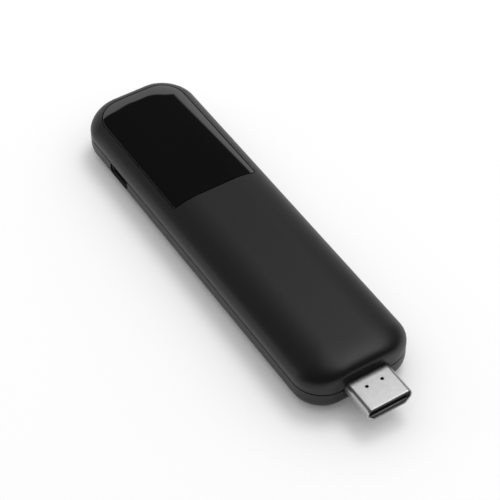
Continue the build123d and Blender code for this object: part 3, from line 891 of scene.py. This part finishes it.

# %% [markdown]
# ## The moulded body in the plug's mouth
# The body fills the shell behind the mouth. A flat slot in its face takes the socket's
# tongue. The contacts lie on the slot's two walls and run on through the body in straight
# channels. Under each hole of the shell the body has a pocket for the socket's spring
# finger, so the holes look black from above. Below the slot its face is painted a lighter
# grey, a painted highlight where light falls on it. That is a mask on the place in the
# material, soft at its ends.

# %% The moulded body
body_round, body_face = 0.1, plug_tip - 0.7
slot_wide, slot_high, slot_deep = 11.4, 1.4, 6.5
slot_corner, slot_edge, slot_overlap = 0.1, 0.12, 0.5
latch_size, latch_depth = 1.5, 0.8
upper_low, upper_high = node_box("hdmi_contacts_upper")
lower_low, lower_high = node_box("hdmi_contacts_lower")
slot_mid = (upper_high[2] + lower_low[2]) / 2
contact_thick, contact_wide, contact_pitch = 0.2, 0.45, 1.0


def row_channels(count, low, high):
    """The straight channels that carry one row of contacts back through the body."""
    made = []
    for y in (np.arange(count) - (count - 1) / 2) * contact_pitch:
        outline = box_corners((y - contact_wide / 2, low), (y + contact_wide / 2, high))
        made.append(skin("channel", [across(outline, plug_root - beyond),
                                     across(outline, body_face - slot_deep + slot_overlap)]))
    return united(made)


def paint_light(material, colour, *borders):
    """Paints light on a finish: lightens it past each border (axis, none, full) in millimetres, a little
    unevenly.
    """
    tree = Tree(material.node_tree)
    base = material.node_tree.nodes["Principled BSDF"].inputs["Base Color"]
    unpainted = Wire(tree, base.links[0].from_socket)
    share = between(tree, noise(tree, 0.25), 0.8, 1.0)
    for axis, none, full in borders:
        place = tree.node("ShaderNodeTexCoord", output="Object")
        along = tree.node("ShaderNodeSeparateXYZ", {"Vector": place}, output=axis)
        share = share * ramp(tree, along, none * MM, full * MM)
    tree.set(base, blend(tree, share, unpainted, colour))
    return material


body_rings = [across(plug_outline(-sheet), plug_root)]
for growth, fall in round_edge(body_round):
    body_rings.append(across(plug_outline(growth - sheet), body_face - fall))
corners = box_about((0, slot_mid), slot_wide, slot_high)
slot_rings = [across(rounded(corners, slot_corner, growth, arc_steps=4), body_face + rise)
              for growth, rise in mouth(0.0, slot_deep, beyond, slot_edge)]
top = plug_top - sheet
pockets = [prism(box_about(place, latch_size, latch_size), top - latch_depth, top + beyond)
           for place in hole_places]
moulding = skin("hdmi_moulding", body_rings)
for cutter in (skin("tongue slot", slot_rings), united(pockets),
               row_channels(10, upper_low[2], upper_high[2]), row_channels(9, lower_low[2], lower_high[2])):
    carve(moulding, cutter)
# painted light: the face below the slot is made a lighter grey where light falls on it
slot_floor, painted_light_grey = slot_mid - slot_high / 2, 0.19
mouth_plastic_painted_light = paint_light(mouth_plastic.copy(), painted_light_grey, ("X", body_face - 0.12, body_face - 0.02),
                        ("Z", slot_floor + 0.15, slot_floor - 0.05))
finished(shade(moulding), "moulded_insulator", "hdmi_insulator", material=mouth_plastic_painted_light)

# %% [markdown]
# ## Rows of contacts
# Contacts repeat at a fixed pitch, which is work for Geometry Nodes: a line of points is
# bent by a soft hump where the spring touches, a small rounded section is swept along
# it, and the result is set on a row of points.

# %% A Geometry Nodes tree for a row of contacts
comb, given = geometry_tree(
    "contact row", Count=10, Pitch=1.0, Wide=0.45, Thick=0.2, Start=0.0, End=1.0, Height=0.0,
    Hump=0.0, HumpPlace=0.0, HumpSpread=1.0, Finish=None)
steps = 40
strip = comb.node("GeometryNodeMeshLine", {
    "Count": steps + 1, "Start Location": comb.vector(given.Start, 0.0, given.Height),
    "Offset": comb.vector((given.End - given.Start) / float(steps), 0.0, 0.0)})
here_x = comb.node("ShaderNodeSeparateXYZ", {"Vector": comb.node("GeometryNodeInputPosition")})
away = comb.math("ABSOLUTE", (here_x - given.HumpPlace) / given.HumpSpread)
hump = comb.vector(0.0, 0.0, given.Hump / (away ** 4.0 + 1.0))
bent = comb.node("GeometryNodeSetPosition", {"Geometry": strip, "Offset": hump})
path = comb.node("GeometryNodeMeshToCurve", {"Mesh": bent})
square = comb.node("GeometryNodeCurvePrimitiveQuadrilateral", {"Width": given.Thick, "Height": given.Wide})
section = comb.node("GeometryNodeFilletCurve", {"Curve": square, "Count": 3, "Radius": given.Thick * 0.3},
                    mode="POLY")
swept = comb.node("GeometryNodeCurveToMesh", {"Curve": path, "Profile Curve": section, "Fill Caps": True})
first_y = given.Pitch * -0.5 * (given.Count - 1.0)
places = comb.node("GeometryNodeMeshLine", {
    "Count": given.Count, "Start Location": comb.vector(0.0, first_y, 0.0),
    "Offset": comb.vector(0.0, given.Pitch, 0.0)})
comb.close(comb.node("GeometryNodeInstanceOnPoints", {"Points": places, "Instance": swept}), given.Finish)
print("contact row:", len(comb.tree.nodes), "nodes")

# %% The two rows in the plug
for name, node, count, hump in (("hdmi_upper_contacts", "hdmi_contacts_upper", 10, -0.14),
                                ("hdmi_lower_contacts", "hdmi_contacts_lower", 9, 0.14)):
    low, high = node_box(node)
    contacts = grow(comb, name, Count=count, Pitch=contact_pitch, Wide=contact_wide,
                    Thick=contact_thick, Start=upper_low[0], End=upper_high[0],
                    Height=(low[2] + high[2]) / 2, Hump=hump, HumpPlace=plug_tip - 3.4, HumpSpread=0.9)
    finished(shade(outwards(contacts), sharp=50), "contact_gold", node)

# %% [markdown]
# ## The power socket
# A drawn steel shell with round ends, open at the case's side, and a thin tongue with a
# row of contacts on each face. Only the dark mouth shows, but it is a real socket. Its
# steel is painted dark, as painted shade for the unlit inside of the slot.

# %% The power socket
usb_wide, usb_high, usb_wall, usb_edge = 8.94, 3.26, 0.3, 0.12
usb_mouth, usb_back = socket_low[1], socket_high[1]
usb_mid = ((socket_low[0] + socket_high[0]) / 2, (socket_low[2] + socket_high[2]) / 2)
strap = (11.2, 3.4, 0.2)  # across the board, under the rear half
strap_corner, strap_y = 0.4, usb_mouth + 4.8
tongue_low, tongue_high = node_box("usb_tongue")
tongue_wide, tongue_thick, tongue_corner, carrier_thick = 6.7, 0.7, 0.2, 1.2
pins_low, pins_high = node_box("usb_contacts")
pin_count, pin_pitch, pin_wide, pin_thick = 12, 0.5, 0.25, 0.1


def socket_ring(growth, y):
    """A ring of the socket's outline, drawn in or out, at a depth in the side."""
    corners = box_about(usb_mid, usb_wide, usb_high)
    return beside(rounded(corners, usb_high / 2 - 0.001, growth, arc_steps=10), y)


rings = [socket_ring(0, usb_back)]
rings += [socket_ring(growth, usb_mouth + fall) for growth, fall in round_edge(usb_edge)]
rings += [socket_ring(-usb_wall, usb_mouth + 0.05), socket_ring(-usb_wall, usb_back - usb_wall)]
plan = rounded(box_about((usb_mid[0], strap_y), *strap[:2]), strap_corner)
plate = prism(plan, board_high[2], board_high[2] + strap[2])
shell = carve(skin("usb_socket_shell", rings), plate, "UNION")
# the shell gets a dark steel, painted shade for the unlit inside of the socket
finished(shade(shell), "plug_steel", "usb_shell", material=socket_steel_painted_shade)

# %% Its tongue, on a plate at the back
tip, root = tongue_low[1], tongue_high[1]
corners = box_about(usb_mid, tongue_wide, tongue_thick)
rings = [beside(rounded(corners, tongue_corner, growth, arc_steps=5), y)
         for growth, y in ((-0.15, tip), (-0.04, tip + 0.1), (0, tip + 0.3), (0, root))]
plate = skin("plate", [socket_ring(-usb_wall, root - carrier_thick), socket_ring(-usb_wall, root)])
tongue = carve(skin("usb_socket_tongue", rings), plate, "UNION")
finished(shade(tongue), "moulded_insulator", "usb_tongue")

# %% The socket's contacts
pins, others = (
    grow(comb, "usb_socket_contacts", Count=pin_count, Pitch=pin_pitch, Wide=pin_wide,
         Thick=pin_thick * 1.2, Start=pins_low[1], End=pins_high[1], Height=height)
    for height in (pins_low[2] + pin_thick / 2, pins_high[2] - pin_thick / 2))
edit(pins, lambda shape: shape.from_mesh(others.data))
bpy.data.objects.remove(others)
pins.data.transform(Matrix.Translation((usb_mid[0], 0, 0)) @ Matrix.Rotation(pi / 2, 4, "Z"))
finished(shade(outwards(pins), sharp=50), "contact_gold", "usb_contacts")

# %% [markdown]
# ## The pieces that keep their own solids
# The board and what stands on it have the right shape already. They stay as they are in
# the frame and only get their finishes.

# %% Finishes for the pieces inside
for part in frame["record"]["subparts"]:
    node = frame["nodes"][part["node"]]
    if not node.hide_render:
        node.data.materials.clear()
        node.data.materials.append(finish_of_slot[part["material_slot"]])
        print(part["node"], "gets", part["material_slot"])

# %% [markdown]
# ## Floor, background and light
# The stick lies on plain white paper. A key lamp hangs behind it, where the sheen of the
# matte shoulders peaks, and a weaker one fills the left side. The sky gives most of the
# plain light. Dark gloss and bare metal look like what they reflect, so the world that
# they see is a studio's: paper to just over the horizon all round, a tall white card past
# the far end, and a dark ceiling.

# %% The floor
def any_ray(tree, *kinds):
    """1 for rays of any of these kinds and 0 for the rest."""
    found = 0.0
    for kind in kinds:
        found = tree.math("MAXIMUM", found, tree.node("ShaderNodeLightPath", output=kind))
    return found


floor_lift = 0.06  # the paper is a little whiter to the eye than to matt pieces
paper = bpy.data.materials.new("floor_paper")
paper.use_nodes = True
nodes, tree = paper.node_tree.nodes, Tree(paper.node_tree)
nodes.remove(nodes["Principled BSDF"])
matt = tree.node("ShaderNodeBsdfDiffuse", {"Color": (0.96, 0.96, 0.96, 1)})
seen = any_ray(tree, "Is Camera Ray", "Is Glossy Ray", "Is Transmission Ray")
glow = tree.node("ShaderNodeEmission", {"Strength": seen * floor_lift})
lit = tree.node("ShaderNodeAddShader", {0: matt, 1: glow})
clear = tree.node("ShaderNodeBsdfTransparent")
below = tree.node("ShaderNodeNewGeometry", output="Backfacing")  # one sees through it from below
chosen = tree.node("ShaderNodeMixShader", {0: below, 1: lit, 2: clear})
tree.set(nodes["Material Output"].inputs[0], chosen)

floor_half, floor_drop = 4.0, 0.00002  # metres; just under the stick, so no two faces share a plane
floor_corners = box_corners((-floor_half, -floor_half), (floor_half, floor_half))
floor_mesh = bpy.data.meshes.new("floor")
floor_mesh.from_pydata([(x, y, -floor_drop) for x, y in floor_corners], [], [(0, 1, 2, 3)])
floor_mesh.materials.append(paper)
floor = placed("floor", floor_mesh)

# %% The world
scene.view_settings.view_transform = "Standard"
world = bpy.data.worlds.new("studio")
scene.world = world
world.use_nodes = True
sky = Tree(world.node_tree)
direction = sky.node("ShaderNodeTexCoord", output="Generated")


def toward(axis):
    """How far a ray points along an axis."""
    return sky.node("ShaderNodeVectorMath", {0: direction, 1: axis}, "Value", operation="DOT_PRODUCT")


def white_below(axis, start, end):
    """1 for rays that point along an axis by less than start, 0 by more than end."""
    return ramp(sky, toward(axis), start, end, 1.0, 0.0, "SMOOTHSTEP")


def mixed(chooser, when_no, when_yes):
    """A number between two others."""
    return sky.node("ShaderNodeMix", {0: chooser, 2: when_no, 3: when_yes}, data_type="FLOAT")


card, horizon = white_below((0.927, -0.044, 0.372), -0.464, -0.440), white_below((0, 0, 1), 0.12, 0.18)
ceiling = 0.06
room_seen = mixed(sky.math("MAXIMUM", card, horizon), ceiling, 1.0)
bright_side, sky_base, sky_gain = (-0.40, 0.50, 0.77), 0.30, 0.90
for_matt = sky.math("MAXIMUM", toward(bright_side), 0.0) * sky_gain + sky_base
mirrored = any_ray(sky, "Is Glossy Ray", "Is Transmission Ray")
strength = mixed(any_ray(sky, "Is Camera Ray"), mixed(mirrored, for_matt, room_seen), 1.0)
background = world.node_tree.nodes["Background"]
background.inputs["Color"].default_value = (1, 1, 1, 1)
sky.set(background.inputs["Strength"], strength)


# %% The lamps
def soft_lamp(name, where, size, power):
    """A square soft lamp that looks at the stick."""
    lamp = placed(name, bpy.data.lights.new(name, "AREA"))
    lamp.data.shape, lamp.data.size, lamp.data.energy = "SQUARE", size, power
    look(lamp, where, -Vector(where))


soft_lamp("key", (-0.185, 0.39, 0.90), 0.4, 2.2)
soft_lamp("fill", (-0.43, -0.72, 0.28), 0.15, 0.28)
